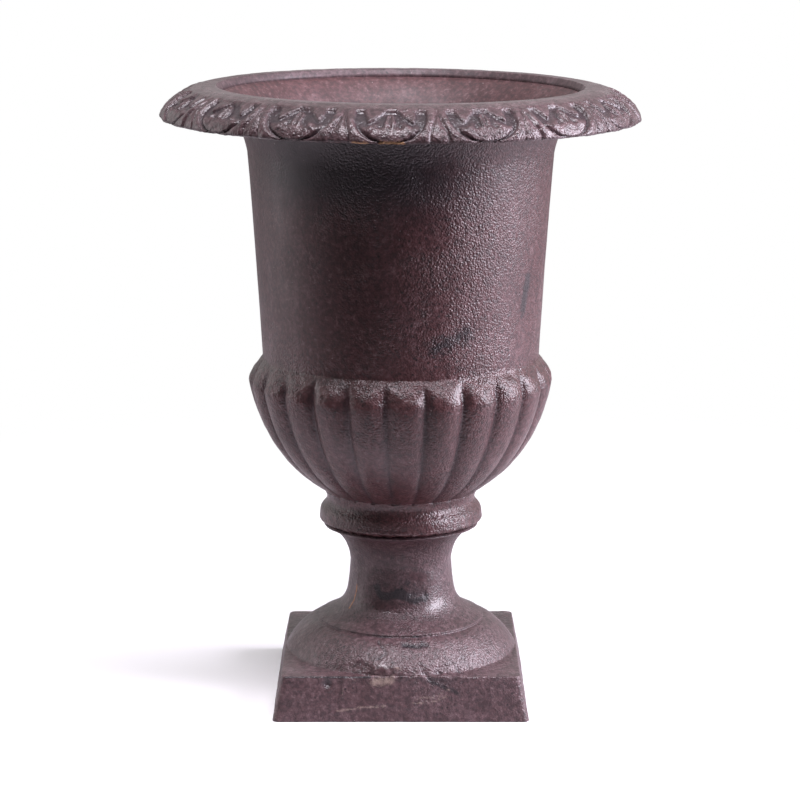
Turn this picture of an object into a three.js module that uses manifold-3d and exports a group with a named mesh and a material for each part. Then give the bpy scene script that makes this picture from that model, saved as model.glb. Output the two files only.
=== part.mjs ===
import * as THREE from 'three';
import { mergeVertices } from 'three/addons/utils/BufferGeometryUtils.js';
import Module from 'manifold-3d';

// A garden urn planter in cast iron, with a rolled rim and a belly of gadroons.
// Two castings stand one on the other: the bowl, and the pedestal foot with its square plinth.
// A bolt, two washers and a nut draw them together through the floor of the bowl.
// Lengths are millimetres, +Z is up, and the origin is the centre of the face that meets the ground.
// Angles around the urn start at the front, -Y, and grow towards +X.

// Plinth and foot: a square base, a low dome, and a waisted stem.
const plinthWidth = 165.6;
const plinthTopWidth = 154.2;
const plinthHeight = 28.8;
const plinthCorner = 4;
const domeInset = 0.6;
const domeHeight = 21;
const creaseRadius = 55;
const flareHeight = 38.2;
const waistRadius = 33.4;
const headHeight = 24.9;
const headRadius = 51.3;
const headEdge = 1.3;
const headChamfer = 1.8;
const footWall = 6;
const domeFootWall = 12;
const topPlate = 8;

// Collar of the bowl: the ring that sits on the foot, and the neck above it.
const collarRadius = 53.9;
const collarChamfer = 4;
const collarChamferHeight = 2.1;
const collarBand = 1.6;
const neckRadius = 48.8;
const neckHeight = 16;
const recessRadius = 40;
const recessDepth = 7.5;
const bossRadius = 13;
const floorThickness = 7;
const floorRadius = 34;

// Gadroons: upright lobes around the belly, each pair parted by a crease.
const gadroonCount = 24;
const gadroonDepth = 5.2;
const gadroonRoundnessRatio = 0.96;
const gadroonPhase = THREE.MathUtils.degToRad(-5.625);
const gadroonFootRise = 5.5;
const gadroonFootRadius = 50.9;
const bellyHeight = 72.5;
const shoulderRadius = 99.65;
const shoulderHeight = 17.5;

// Body: the plain wall that widens a little towards the rim.
const bodyHeight = 134;
const bodyFootRadius = 90.5;
const bodyTopRadius = 99.3;
const bodyWaistRadius = 94.9;
const bodyWaistRise = 80.4;
const bowlWall = 5.5;

// Rim: a cove, a rolled moulding and a flat lip.
const rimRadius = 155.2;
const rimHeight = 42;
const coveHeight = 33.2;
const coveRadius = 123;
const rollDrop = 19;
const rollEdge = 2.9;
const rollEdgeIn = 2.4;
const rollUnderIn = 2.6;
const rollUnderRise = 1.3;
const bandRadius = 127;
const lipRadius = 118.2;
const lipChamfer = 2.5;
const lipChamferHeight = 5;

// Egg and dart on the roll: each egg lies in a hollow, with a bud over it and a lappet to each
// side of the bud. A broad frame runs around the hollow, and a dart stands between two frames.
// Depths are below the roll's surface.
const eggCount = 16;
const eggPhase = THREE.MathUtils.degToRad(-2.5);
const eggMargin = 9.6;
const eggEdge = 0.8;
const eggDepth = 0.4;
const eggFullHeight = 8;
const eggRise = 7;
const eggRounding = 4.5;
const hollowFullness = 2.6;
const hollowDepth = 2.6;
const hollowStep = 1.6;
const budWidth = 9;
const lappetPlace = 13;
const lappetLength = 12;
const lappetSlope = 2;
const lappetDepth = 0.5;
const frameWidth = 5.2;
const frameDepth = 0.25;
const frameSlope = 1.4;
const dartTopWidth = 1.6;
const dartFootWidth = 11.6;
const dartDepth = 0.3;
const grooveDepth = 1.5;
const bandSeat = 3.2;
const bandSetIn = 0.8;

// Fastening and drainage.
const boltRadius = 4;
const boltClearance = 0.5;
const boltHeadFlats = 13;
const boltHeadHeight = 5.3;
const boltTail = 3;
const nutHeight = 6.5;
const threadClearance = 0.3;
const washerRadius = 12;
const washerThickness = 2;
const hexCornerCut = 1.6;
const headSeatCut = 0.2;
const hexCutReach = 0.8;
const drainRadius = 4.5;
const drainOffset = 19.5;

// Pieces that touch keep this gap.
const seatGap = 0.3;

// How finely the round shapes are cut into flats.
const facetsPerGadroon = 4;
const bowlFacets = gadroonCount * facetsPerGadroon;
const insideFacets = 48;
const holeFacets = 24;
const cornerFacets = 3;
const facetsPerEggSide = 7;
const facetsPerEgg = 2 * facetsPerEggSide;
const eggRows = 5;
const eggRowCrowding = 1.4;
const overcut = 2;

// Levels, stacked from the ground up.
const domeRoot = plinthHeight / 2;
const creaseLevel = plinthHeight + domeHeight;
const waistLevel = creaseLevel + flareHeight;
const headLevel = waistLevel + headHeight;
const footTop = headLevel + headEdge;
const bowlBase = footTop + seatGap;
const neckLevel = bowlBase + neckHeight;
const gadroonFoot = neckLevel + gadroonFootRise;
const shoulderLevel = gadroonFoot + bellyHeight;
const gadroonTop = shoulderLevel + shoulderHeight;
const bodyWaistLevel = gadroonTop + bodyWaistRise;
const bodyTop = gadroonTop + bodyHeight;
const coveTop = bodyTop + coveHeight;
const urnTop = bodyTop + rimHeight;
const recessTop = bowlBase + recessDepth;
const floorLevel = recessTop + floorThickness;
const plateUnderside = footTop - topPlate;

const manifold = await Module();
manifold.setup();

const point = (radius, level) => new THREE.Vector2(radius, level);

// A bend joins two points of an outline with a cubic curve. Each control point is given
// as two shares, outward and upward, of the way from the first point to the last.
const bendCurve = (from, to, [outA, upA], [outB, upB]) => {
  const between = (out, up) =>
    point(from.x + out * (to.x - from.x), from.y + up * (to.y - from.y));
  return new THREE.CubicBezierCurve(from, between(outA, upA), between(outB, upB), to);
};
const bend = (from, to, outward, upward, steps) =>
  bendCurve(from, to, outward, upward).getPoints(steps).slice(1);

// A lathe turns an outline, given as radius and level, around the upright axis.
const turned = (outline, facets, start = 0) =>
  new THREE.LatheGeometry(outline, facets, start).rotateX(Math.PI / 2);

const solidOf = (geometry) => {
  const bare = geometry.clone();
  bare.deleteAttribute('normal');
  bare.deleteAttribute('uv');
  const merged = mergeVertices(bare);
  const corners = merged.index.array;
  const faces = [];
  for (let i = 0; i < corners.length; i += 3) {
    const [a, b, c] = [corners[i], corners[i + 1], corners[i + 2]];
    if (a !== b && b !== c && c !== a) faces.push(a, b, c);
  }
  const mesh = new manifold.Mesh({
    numProp: 3,
    vertProperties: new Float32Array(merged.attributes.position.array),
    triVerts: new Uint32Array(faces),
  });
  return new manifold.Manifold(mesh);
};

const geometryOf = (solid) => {
  const mesh = solid.getMesh();
  const geometry = new THREE.BufferGeometry();
  geometry.setAttribute('position', new THREE.BufferAttribute(mesh.vertProperties, 3));
  geometry.setIndex(new THREE.BufferAttribute(mesh.triVerts, 1));
  geometry.computeVertexNormals();
  return geometry;
};

// An upright round bar between two levels, used for holes and shanks.
const bar = (radius, low, high, x = 0) => {
  const shape = new THREE.CylinderGeometry(radius, radius, high - low, holeFacets);
  shape.rotateX(Math.PI / 2).translate(x, 0, (low + high) / 2);
  return solidOf(shape);
};

// The plinth is a rounded square that narrows upwards, drawn in by the same slope for its hollow.
const plinthBlock = (inset, low, high) => {
  const half = plinthWidth / 2 - inset;
  const corner = Math.max(plinthCorner - inset, plinthCorner / 2);
  const outline = new THREE.Shape();
  outline.absarc(half - corner, half - corner, corner, 0, Math.PI / 2);
  outline.absarc(corner - half, half - corner, corner, Math.PI / 2, Math.PI);
  outline.absarc(corner - half, corner - half, corner, Math.PI, 1.5 * Math.PI);
  outline.absarc(half - corner, corner - half, corner, 1.5 * Math.PI, 2 * Math.PI);
  const block = new THREE.ExtrudeGeometry(outline, {
    depth: high - low, bevelEnabled: false, curveSegments: cornerFacets,
  });
  block.translate(0, 0, low);
  const slope = (plinthWidth - plinthTopWidth) / 2 / plinthHeight;
  const corners = block.attributes.position;
  for (let i = 0; i < corners.count; i += 1) {
    const narrowed = (half - slope * corners.getZ(i)) / half;
    corners.setXY(i, corners.getX(i) * narrowed, corners.getY(i) * narrowed);
  }
  return solidOf(block);
};

const footOutline = () => {
  const ground = point(plinthTopWidth / 2 - domeInset, plinthHeight);
  const crease = point(creaseRadius, creaseLevel);
  const waist = point(waistRadius, waistLevel);
  const head = point(headRadius, headLevel);
  return [
    point(0, domeRoot),
    point(ground.x, domeRoot),
    ground,
    ...bend(ground, crease, [0.15, 0.4], [0.55, 0.78], 5),
    ...bend(crease, waist, [0.9, 0.24], [0.91, 0.28], 6),
    ...bend(waist, head, [0.08, 0.5], [0.4, 0.86], 5),
    point(headRadius - headChamfer, footTop),
    point(0, footTop),
  ];
};

const footHollow = () => {
  const domeFoot = point(plinthTopWidth / 2 - domeInset - domeFootWall, plinthHeight - footWall);
  const domeTop = point(creaseRadius - footWall, creaseLevel - footWall);
  const stem = point(waistRadius - footWall, waistLevel);
  return [
    point(0, domeFoot.y - overcut),
    point(domeFoot.x, domeFoot.y - overcut),
    domeFoot,
    ...bend(domeFoot, domeTop, [0.15, 0.4], [0.55, 0.78], 2),
    ...bend(domeTop, stem, [0.9, 0.24], [0.91, 0.28], 4),
    point(stem.x, plateUnderside),
    point(0, plateUnderside),
  ];
};

const pedestalFoot = () => {
  const outside = plinthBlock(0, 0, plinthHeight).add(solidOf(turned(footOutline(), insideFacets)));
  const hollow = plinthBlock(footWall, -overcut, plinthHeight - footWall)
    .add(solidOf(turned(footHollow(), insideFacets)));
  const boltHole = bar(boltRadius + boltClearance, plateUnderside - overcut, footTop + overcut);
  const drain = bar(drainRadius, plateUnderside - overcut, footTop + overcut, drainOffset);
  return outside.subtract(hollow).subtract(boltHole).subtract(drain);
};

// The top of the roll, from its widest edge in to the flat band around the mouth.
const rollWide = point(rimRadius, urnTop - rollDrop);
const rollTop = bendCurve(rollWide, point(bandRadius, urnTop), [0.06, 0.5], [0.5, 0.89]);
const eggHeight = rollTop.getLength() - eggMargin;

// A point at a distance up the roll from its widest edge, and at a depth below its surface.
const onRoll = (up, depth) => {
  const share = up / rollTop.getLength();
  const along = rollTop.getTangentAt(share);
  return rollTop.getPointAt(share).add(point(-depth * along.y, depth * along.x));
};

const bowlOutline = () => {
  const collar = point(collarRadius, bowlBase + collarChamferHeight + collarBand);
  const neck = point(neckRadius, neckLevel);
  const foot = point(gadroonFootRadius, gadroonFoot);
  const shoulder = point(shoulderRadius, shoulderLevel);
  const bodyFoot = point(bodyFootRadius, gadroonTop);
  const body = point(bodyWaistRadius, bodyWaistLevel);
  const cove = point(bodyTopRadius, bodyTop);
  const coveEnd = point(coveRadius, coveTop);
  const rollLow = point(rimRadius - rollEdgeIn, urnTop - rollDrop - rollEdge);
  const rollUnder = point(rollLow.x - rollUnderIn, rollLow.y + rollUnderRise);
  return [
    point(0, bowlBase),
    point(collarRadius - collarChamfer, bowlBase),
    point(collarRadius, bowlBase + collarChamferHeight),
    collar,
    ...bend(collar, neck, [0.02, 0.4], [0.9, 0.72], 2),
    foot,
    ...bend(foot, shoulder, [-0.04, 0.02], [0.78, 0.23], 7),
    ...bend(shoulder, bodyFoot, [-0.03, 0.5], [1, 0.9], 3),
    ...new THREE.QuadraticBezierCurve(bodyFoot, body, cove).getPoints(2).slice(1),
    ...bend(cove, coveEnd, [0.11, 0.42], [0.45, 0.93], 4),
    ...bend(coveEnd, rollUnder, [0.45, -0.11], [0.9, 0.15], 3),
    rollLow,
    rollWide,
    onRoll(eggEdge, 0),
    onRoll(eggEdge, bandSeat),
    onRoll(eggHeight / 2, bandSeat),
    onRoll(eggHeight, bandSeat),
    onRoll(eggHeight, 0),
    onRoll(eggHeight + eggMargin / 2, 0),
    point(bandRadius, urnTop),
    point(0, urnTop),
  ];
};

const bowlHollow = () => {
  const floor = point(floorRadius, floorLevel);
  const belly = point(bodyFootRadius - bowlWall, gadroonTop);
  const body = point(bodyWaistRadius - bowlWall, bodyWaistLevel);
  const cove = point(bodyTopRadius - bowlWall, bodyTop);
  const funnel = point(lipRadius - lipChamfer, urnTop - lipChamferHeight);
  return [
    point(0, floorLevel),
    floor,
    ...bend(floor, belly, [0.66, 0.14], [1.1, 0.6], 6),
    ...new THREE.QuadraticBezierCurve(belly, body, cove).getPoints(2).slice(1),
    ...bend(cove, funnel, [0.1, 0.43], [0.42, 0.78], 3),
    point(lipRadius, urnTop),
    point(lipRadius, urnTop + overcut),
    point(0, urnTop + overcut),
  ];
};

// The creases are cut by drawing the turned wall inwards. Between two creases the lobe is round,
// and a crease deepens quickly below the top of the lobes and fades as they narrow to the neck.
const carveGadroons = (geometry) => {
  const lobeAngle = (2 * Math.PI) / gadroonCount;
  const roundness = Math.min(gadroonRoundnessRatio, 1);
  const fullDrop = 1 - Math.sqrt(1 - roundness ** 2);
  const corners = geometry.attributes.position;
  for (let i = 0; i < corners.count; i += 1) {
    const [x, y, level] = [corners.getX(i), corners.getY(i), corners.getZ(i)];
    if (level < gadroonFoot || level > gadroonTop) continue;
    const radius = Math.hypot(x, y);
    const turns = (Math.atan2(x, -y) - gadroonPhase) / lobeAngle;
    const acrossLobe = 2 * (turns - Math.floor(turns)) - 1;
    const drop = (1 - Math.sqrt(1 - (roundness * acrossLobe) ** 2)) / fullDrop;
    const rise = THREE.MathUtils.smoothstep(gadroonTop - level, 0, shoulderHeight);
    const depth = gadroonDepth * rise * (radius / shoulderRadius) ** 2;
    const drawnIn = (radius - depth * drop) / radius;
    corners.setXY(i, x * drawnIn, y * drawnIn);
  }
  return geometry;
};

// Half a unit of egg and dart at one height on the roll: how far each column lies from the middle
// of the egg, and how deep. The first column is the middle of the egg, the last that of the dart,
// and there is one facet from each column to the next.
const eggColumns = (up) => {
  const { smoothstep } = THREE.MathUtils;
  const halfPitch = (Math.PI * onRoll(up, 0).x) / eggCount;
  const down = 1 - up / eggHeight;
  const dartWidth = dartTopWidth + (dartFootWidth - dartTopWidth) * smoothstep(down, 0, 1);
  const frameEdge = halfPitch - dartWidth / 2;
  const hollowWidth = halfPitch - dartTopWidth / 2 - frameWidth;
  const hollowEdge = hollowWidth * Math.sqrt(1 - down ** hollowFullness);
  const slope = Math.min(frameSlope, hollowEdge / 4);
  const shoulder = Math.max(hollowEdge - eggRounding, hollowEdge / 2);
  const sunk = smoothstep(eggHeight - up, 0, hollowStep);
  const aboveEgg = smoothstep(up, eggFullHeight, eggFullHeight + eggRise);
  const aboveBud = smoothstep(up, eggHeight - 2 * hollowStep, eggHeight - hollowStep);
  const lappetTip = eggHeight - lappetLength;
  const lappet = smoothstep(up, lappetTip - lappetSlope, lappetTip + lappetSlope);
  const eggDrop = eggDepth + (hollowDepth - eggDepth) * aboveEgg;
  return [
    [0, sunk * (eggDepth + (hollowDepth - eggDepth) * aboveBud)],
    [Math.min(budWidth, hollowEdge) / 2, sunk * eggDrop],
    [
      shoulder + (lappetPlace - shoulder) * aboveEgg,
      sunk * (eggDrop + (lappetDepth - eggDrop) * lappet),
    ],
    [hollowEdge - slope, sunk * hollowDepth],
    [hollowEdge, frameDepth],
    [frameEdge - slope / 2, frameDepth],
    [frameEdge, grooveDepth],
    [halfPitch, dartDepth],
  ];
};

// The ornament is a ring set into a seat in the roll. Its end rows reach under the edges of the
// seat, and the rows between them are moved to where the columns say.
const eggBand = () => {
  const reach = eggHeight - eggEdge - hollowStep;
  const rows = [eggEdge / 2];
  for (let row = 0; row <= eggRows; row += 1) {
    rows.push(eggEdge + reach * (row / eggRows) ** eggRowCrowding);
  }
  rows.push(eggHeight + eggEdge / 2);
  const under = bandSeat + bandSetIn;
  const loop = [
    onRoll(rows[0], under),
    ...rows.map((up) => onRoll(up, frameDepth)),
    onRoll(eggHeight + eggEdge / 2, under),
    onRoll(eggHeight / 2, under),
    onRoll(rows[0], under),
  ];
  const band = turned(loop, eggCount * facetsPerEgg, eggPhase);
  const corners = band.attributes.position;
  for (let i = 0; i < corners.count; i += 1) {
    const up = rows[(i % loop.length) - 1];
    if (up === undefined || up < eggEdge || up > eggHeight) continue;
    const column = Math.floor(i / loop.length);
    const unit = Math.round(column / facetsPerEgg);
    const side = column - unit * facetsPerEgg;
    const [across, depth] = eggColumns(up)[Math.abs(side)];
    const place = onRoll(up, depth);
    const unitAngle = eggPhase + (2 * Math.PI * unit) / eggCount;
    const angle = unitAngle + (Math.sign(side) * across) / onRoll(up, 0).x;
    corners.setXYZ(i, place.x * Math.sin(angle), -place.x * Math.cos(angle), place.y);
  }
  return solidOf(band);
};

const urnBowl = () => {
  const outside = solidOf(carveGadroons(turned(bowlOutline(), bowlFacets, gadroonPhase)))
    .add(eggBand());
  const hollow = solidOf(turned(bowlHollow(), insideFacets));
  const recess = bar(recessRadius, bowlBase - overcut, recessTop)
    .subtract(bar(bossRadius, bowlBase - 2 * overcut, recessTop + overcut));
  const boltHole = bar(boltRadius + boltClearance, bowlBase - overcut, floorLevel + overcut);
  const drain = bar(drainRadius, bowlBase - overcut, floorLevel + overcut, drainOffset);
  return outside.subtract(hollow).subtract(recess).subtract(boltHole).subtract(drain);
};

// The fastening hangs from the floor of the bowl: washer, bolt head, shank, and below the top
// plate of the foot the second washer and the nut.
const upperWasherBase = floorLevel + seatGap;
const headBase = upperWasherBase + washerThickness + seatGap;
const lowerWasherTop = plateUnderside - seatGap;
const nutTop = lowerWasherTop - washerThickness - seatGap;
const boltEnd = nutTop - nutHeight - boltTail;

const washer = (low) => solidOf(turned([
  point(boltRadius + threadClearance, low),
  point(washerRadius, low),
  point(washerRadius, low + washerThickness),
  point(boltRadius + threadClearance, low + washerThickness),
  point(boltRadius + threadClearance, low),
], holeFacets));

// A hexagon bar whose corners are turned off over the given height at each end.
const hexBar = (low, high, lowCut, highCut) => {
  const cornerRadius = boltHeadFlats / Math.sqrt(3);
  const hexagon = new THREE.CylinderGeometry(cornerRadius, cornerRadius, high - low, 6);
  hexagon.rotateX(Math.PI / 2).translate(0, 0, (low + high) / 2);
  const turnedCorners = turned([
    point(0, low),
    point(boltHeadFlats / 2, low),
    point(cornerRadius + hexCutReach, low + lowCut),
    point(cornerRadius + hexCutReach, high - highCut),
    point(boltHeadFlats / 2, high),
    point(0, high),
  ], holeFacets);
  return solidOf(hexagon).intersect(solidOf(turnedCorners));
};

const tieBolt = () => {
  const shank = bar(boltRadius, boltEnd, headBase + boltHeadHeight / 2);
  return hexBar(headBase, headBase + boltHeadHeight, headSeatCut, hexCornerCut).add(shank);
};

const hexNut = () => {
  const bore = bar(boltRadius + threadClearance, nutTop - nutHeight - overcut, nutTop + overcut);
  return hexBar(nutTop - nutHeight, nutTop, hexCornerCut, hexCornerCut).subtract(bore);
};

const paintedIron = new THREE.MeshStandardMaterial({
  color: 0x4b3633, roughness: 0.42, metalness: 0.1,
});
const zincSteel = new THREE.MeshStandardMaterial({
  color: 0x8f8d88, roughness: 0.5, metalness: 0.85,
});

const urn = new THREE.Group();

const addPiece = (name, solid, material) => {
  const piece = new THREE.Mesh(geometryOf(solid), material.clone());
  piece.name = name;
  urn.add(piece);
};

addPiece('urn_bowl', urnBowl(), paintedIron);
addPiece('pedestal_foot', pedestalFoot(), paintedIron);
addPiece('tie_bolt', tieBolt(), zincSteel);
addPiece('bowl_washer', washer(upperWasherBase), zincSteel);
addPiece('foot_washer', washer(lowerWasherTop - washerThickness), zincSteel);
addPiece('hex_nut', hexNut(), zincSteel);

export default urn;
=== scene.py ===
# %% [markdown]
# # A cast-iron urn planter
# The real urn is two iron castings, the bowl and the foot, drawn together by one bolt. It was
# brushed with a thin rust-brown lacquer that lies glossy over a sandy skin.
# The loaded frame holds every piece at its real size. This lesson dresses that frame: it turns
# fine versions of the castings, carves the rim and the belly, and mixes the lacquer.

# %% Load the frame
import math

import bmesh
import bpy
import numpy as np
from mathutils import Matrix, Vector, noise


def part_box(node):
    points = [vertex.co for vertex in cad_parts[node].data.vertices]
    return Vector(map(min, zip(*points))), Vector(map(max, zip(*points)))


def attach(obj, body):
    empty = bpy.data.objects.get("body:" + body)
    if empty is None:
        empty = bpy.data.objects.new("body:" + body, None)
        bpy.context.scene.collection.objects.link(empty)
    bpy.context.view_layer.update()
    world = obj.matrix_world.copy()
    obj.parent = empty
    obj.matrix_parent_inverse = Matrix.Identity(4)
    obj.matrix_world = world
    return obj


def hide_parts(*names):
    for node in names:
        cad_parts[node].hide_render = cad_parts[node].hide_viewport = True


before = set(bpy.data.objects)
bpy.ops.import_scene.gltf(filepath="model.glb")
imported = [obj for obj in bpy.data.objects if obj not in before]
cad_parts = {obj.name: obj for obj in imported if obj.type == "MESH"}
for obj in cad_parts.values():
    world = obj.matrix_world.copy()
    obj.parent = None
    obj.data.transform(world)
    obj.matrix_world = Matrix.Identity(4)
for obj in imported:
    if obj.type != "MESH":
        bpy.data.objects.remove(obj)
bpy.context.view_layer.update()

print("frame nodes:", sorted(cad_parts))

# %% [markdown]
# ## Camera
# The picture was taken with a long lens from a little above the rim. A long lens keeps the
# ellipses of rim and foot nearly alike. The camera could be aimed with a constraint, but a plain
# place and tilt are easier to read, and they give the same view each time.

# %% Make the camera
camera_place = (-0.0005, -1.8182, 0.5711)
camera_tilt = math.radians(11.69)
sensor_width = 36
lens_length = 126.8
camera_data = bpy.data.cameras.new("camera")
camera_data.sensor_width = sensor_width
camera_data.lens = lens_length
camera = bpy.data.objects.new("camera", camera_data)
camera.location = camera_place
camera.rotation_euler = (math.pi / 2 - camera_tilt, 0, 0)
bpy.context.scene.collection.objects.link(camera)
bpy.context.scene.camera = camera
print("camera at", camera_place, "tilted down", round(math.degrees(camera_tilt), 2), "degrees")

# %% [markdown]
# ## Sizes
# The outlines are written in millimetres, as radius and level above the ground. The main sizes
# could be written here again, but the frame already knows them. It is asked, so the fine castings
# end where the frame's own castings end.

# %% Ask the frame for the main sizes
mm = 0.001
bowl_low, bowl_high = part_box("urn_bowl")
foot_low, foot_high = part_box("pedestal_foot")
bowl_base = bowl_low[2] / mm
urn_top = bowl_high[2] / mm
rim_radius = bowl_high[0] / mm
foot_top = foot_high[2] / mm
plinth_half = foot_high[0] / mm
print("levels:", foot_top, bowl_base, urn_top, "radii:", rim_radius, plinth_half)

# %% [markdown]
# ## Drawing an outline
# A turned casting is drawn as half of its section. It could be a list of many points, but a few
# curves are easier to correct. Each is a cubic curve whose two handles are given as shares,
# outward and upward, of the way between its ends. The pitch says how far apart the points lie, so
# a carved stretch gets close rings and a plain one gets wide rings.

# %% Curves for outlines
def bend(start, end, first, second, pitch):
    """Points of a curve from start to end, without the start."""
    start, end = np.array(start, float), np.array(end, float)
    handle_a = start + (end - start) * first
    handle_b = start + (end - start) * second
    steps = max(2, round(float(np.linalg.norm(end - start)) / pitch))
    points = []
    for step in range(1, steps + 1):
        t = step / steps
        away = 1 - t
        place = (away ** 3 * start + 3 * away ** 2 * t * handle_a
                 + 3 * away * t ** 2 * handle_b + t ** 3 * end)
        points.append(tuple(place))
    return points


def straight(start, end, pitch):
    return bend(start, end, (1 / 3, 1 / 3), (2 / 3, 2 / 3), pitch)


def corner(before, at, after, size, steps=3):
    """A small round in place of a sharp corner of an outline."""
    before, at, after = (np.array(place, float) for place in (before, at, after))
    start = at + (before - at) / np.linalg.norm(before - at) * size
    end = at + (after - at) / np.linalg.norm(after - at) * size
    points = []
    for step in range(steps + 1):
        t = step / steps
        points.append(tuple((1 - t) ** 2 * start + 2 * t * (1 - t) * at + t ** 2 * end))
    return points


print("10 mm at a pitch of 2 mm take", len(straight((0, 0), (10, 0), pitch=2)), "points")

# %% [markdown]
# ## Turning
# Iron castings like these come from a pattern that was turned on a lathe. Blender's lathe is the
# spin operator. It slows down as a mesh grows, so it turns only a sixteenth of the way around, and
# that wedge is doubled four times into a full ring.
# Two numbers ride along on each point of the outline. "along" is how far the point lies along the
# outline, for carving that follows the surface. "square" says how far a ring is drawn out into a
# square, for the plinth.

# %% Spin an outline into a closed casting
doublings = 4
same_place = 0.001


def arc_lengths(outline):
    gaps = [math.dist(a, b) for a, b in zip(outline, outline[1:])]
    return [0.0] + list(np.cumsum(gaps))


def to_object(shape, name):
    """Make a finished bmesh an object of the scene."""
    mesh = bpy.data.meshes.new(name)
    shape.to_mesh(mesh)
    shape.free()
    made = bpy.data.objects.new(name, mesh)
    bpy.context.scene.collection.objects.link(made)
    return made


def turn(name, outline, steps, square=None):
    """Spin a closed outline of (radius, level) in millimetres around the upright axis."""
    shape = bmesh.new()
    along = shape.verts.layers.float.new("along")
    squared = shape.verts.layers.float.new("square")
    points = []
    lengths = arc_lengths(outline)
    shares = square or [0] * len(outline)
    for (radius, level), length, share in zip(outline, lengths, shares):
        place = shape.verts.new((radius * mm, 0, level * mm))
        place[along] = length
        place[squared] = share
        points.append(place)
    sides = [shape.edges.new(pair) for pair in zip(points, points[1:] + points[:1])]
    wedge = 2 * math.pi / 2 ** doublings
    bmesh.ops.spin(shape, geom=points + sides, cent=(0, 0, 0), axis=(0, 0, 1), dvec=(0, 0, 0),
                   angle=wedge, steps=steps // 2 ** doublings, use_merge=False, use_duplicate=False)
    for _ in range(doublings):
        copied = bmesh.ops.duplicate(shape, geom=shape.verts[:] + shape.edges[:] + shape.faces[:])
        copied_points = [item for item in copied["geom"] if isinstance(item, bmesh.types.BMVert)]
        turned = Matrix.Rotation(wedge, 3, "Z")
        bmesh.ops.rotate(shape, verts=copied_points, cent=(0, 0, 0), matrix=turned)
        wedge *= 2
    bmesh.ops.remove_doubles(shape, verts=shape.verts, dist=same_place * mm)
    bmesh.ops.recalc_face_normals(shape, faces=shape.faces)
    for face in shape.faces:
        face.smooth = True
    triangles = 2 * len(shape.faces)
    print(name, "has", len(outline), "rings of", steps, "and", triangles, "triangles")
    return to_object(shape, name)


print("the spun wedge spans", 360 / 2 ** doublings, "degrees")

# %% [markdown]
# ## Moving the skin
# Carving, dents and drips are all small moves of the skin. They could be sculpted by hand, but
# written moves can be read and changed. They are worked out for all the vertices at once with
# numpy, from where each one lies: its angle around the urn, its radius and its level. Angles
# start at the front and grow towards the right.

# %% Read and move vertices
def read_points(casting):
    points = np.empty(3 * len(casting.data.vertices), np.float32)
    casting.data.vertices.foreach_get("co", points)
    return points.reshape(-1, 3).astype(float) / mm


def write_points(casting, points):
    casting.data.vertices.foreach_set("co", (points * mm).astype(np.float32).ravel())
    casting.data.update()


def read_mask(casting, name):
    values = np.empty(len(casting.data.vertices), np.float32)
    casting.data.attributes[name].data.foreach_get("value", values)
    return values.astype(float)


def keep_mask(casting, name, values):
    """Store one number per vertex, for the lacquer to read."""
    attributes = casting.data.attributes
    mask = attributes.get(name) or attributes.new(name, "FLOAT", "POINT")
    mask.data.foreach_set("value", np.asarray(values, np.float32))


def raised(casting, points, height):
    """The points, moved along the skin's normals by a height in millimetres."""
    normals = np.empty(3 * len(casting.data.vertices), np.float32)
    casting.data.vertex_normals.foreach_get("vector", normals)
    return points + normals.reshape(-1, 3).astype(float) * height[:, None]


def around(points):
    """Angle from the front in degrees, and radius."""
    angle = np.degrees(np.arctan2(points[:, 0], -points[:, 1]))
    return angle, np.hypot(points[:, 0], points[:, 1])


print("the bowl's right side lies at", around(np.array([[1.0, 0.0, 0.0]]))[0][0], "degrees")

# %% [markdown]
# ## Soft steps and noise
# A move of the skin fades in and out, because a sharp step would leave a saw-toothed edge. A ramp
# would do, but it shows a line where it begins and ends, so the steps here are smooth. Noise of
# several sizes makes the uneven skin. Its seeds are written down, so each run gives the same urn.

# %% Shapes of one number
seed_shift = (17.3, 5.1, 29.7)


def ease(values, low, high):
    """0 below low, 1 above high and smooth between them."""
    share = np.clip((values - low) / (high - low), 0, 1)
    return share * share * (3 - 2 * share)


def plateau(values, rise, fall):
    """Grows from 0 to 1 over the rise and goes back to 0 over the fall."""
    return ease(values, *rise) * (1 - ease(values, *fall))


def bell(values, middle, width):
    """1 in the middle, falling to 0 over the width."""
    return np.exp(-((values - middle) / width) ** 2)


def lumps(points, size, seed, depth=1.0):
    """Smooth noise, with lumps of a size and a depth in millimetres."""
    shift = Vector([seed * step for step in seed_shift])
    return depth * np.array([noise.noise(Vector(point) / size + shift) for point in points])


print("a quarter of the way up, a soft step is at", ease(0.25, 0, 1))

# %% [markdown]
# ## The rim
# The rolled rim carries a running ornament of egg and dart: sixteen shell-like hollows, each
# framed by a broad U of iron, with a pointed dart between each two. The rim could be one with
# the bowl's mesh, but the carving needs far closer rings, so it is a ring of its own. It meets
# the rest of the bowl at the sharp inner lip and under the roll, where no seam shows.

# %% Turn the rim
cove_end = (123, urn_top - 8.8)
roll_under = (150.2, urn_top - 20.6)
roll_wide = (rim_radius, urn_top - 19)
band_edge = (127, urn_top)
lip = (118.2, urn_top)
lip_start = (lip[0] + 0.8, lip[1])
lip_edge = (lip[0] + 0.25, lip[1] - 0.12)
lip_under = (lip[0] - 0.1, lip[1] - 0.6)
lip_low = (115.7, urn_top - 5)
rim_steps = 1440

rim_outline = [cove_end]
rim_outline += bend(cove_end, roll_under, (0.45, -0.11), (0.9, 0.15), pitch=4)
rim_outline += bend(roll_under, roll_wide, (0.7, -0.35), (1, 0.15), pitch=1)
rim_outline += bend(roll_wide, band_edge, (0.06, 0.5), (0.5, 0.89), pitch=0.72)
rim_outline += straight(band_edge, lip_start, pitch=1.6)
rim_outline += [lip_edge, lip_under]
rim_outline += straight(lip_under, lip_low, pitch=2.5)
rim = turn("rim_moulding", rim_outline, rim_steps)

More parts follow.
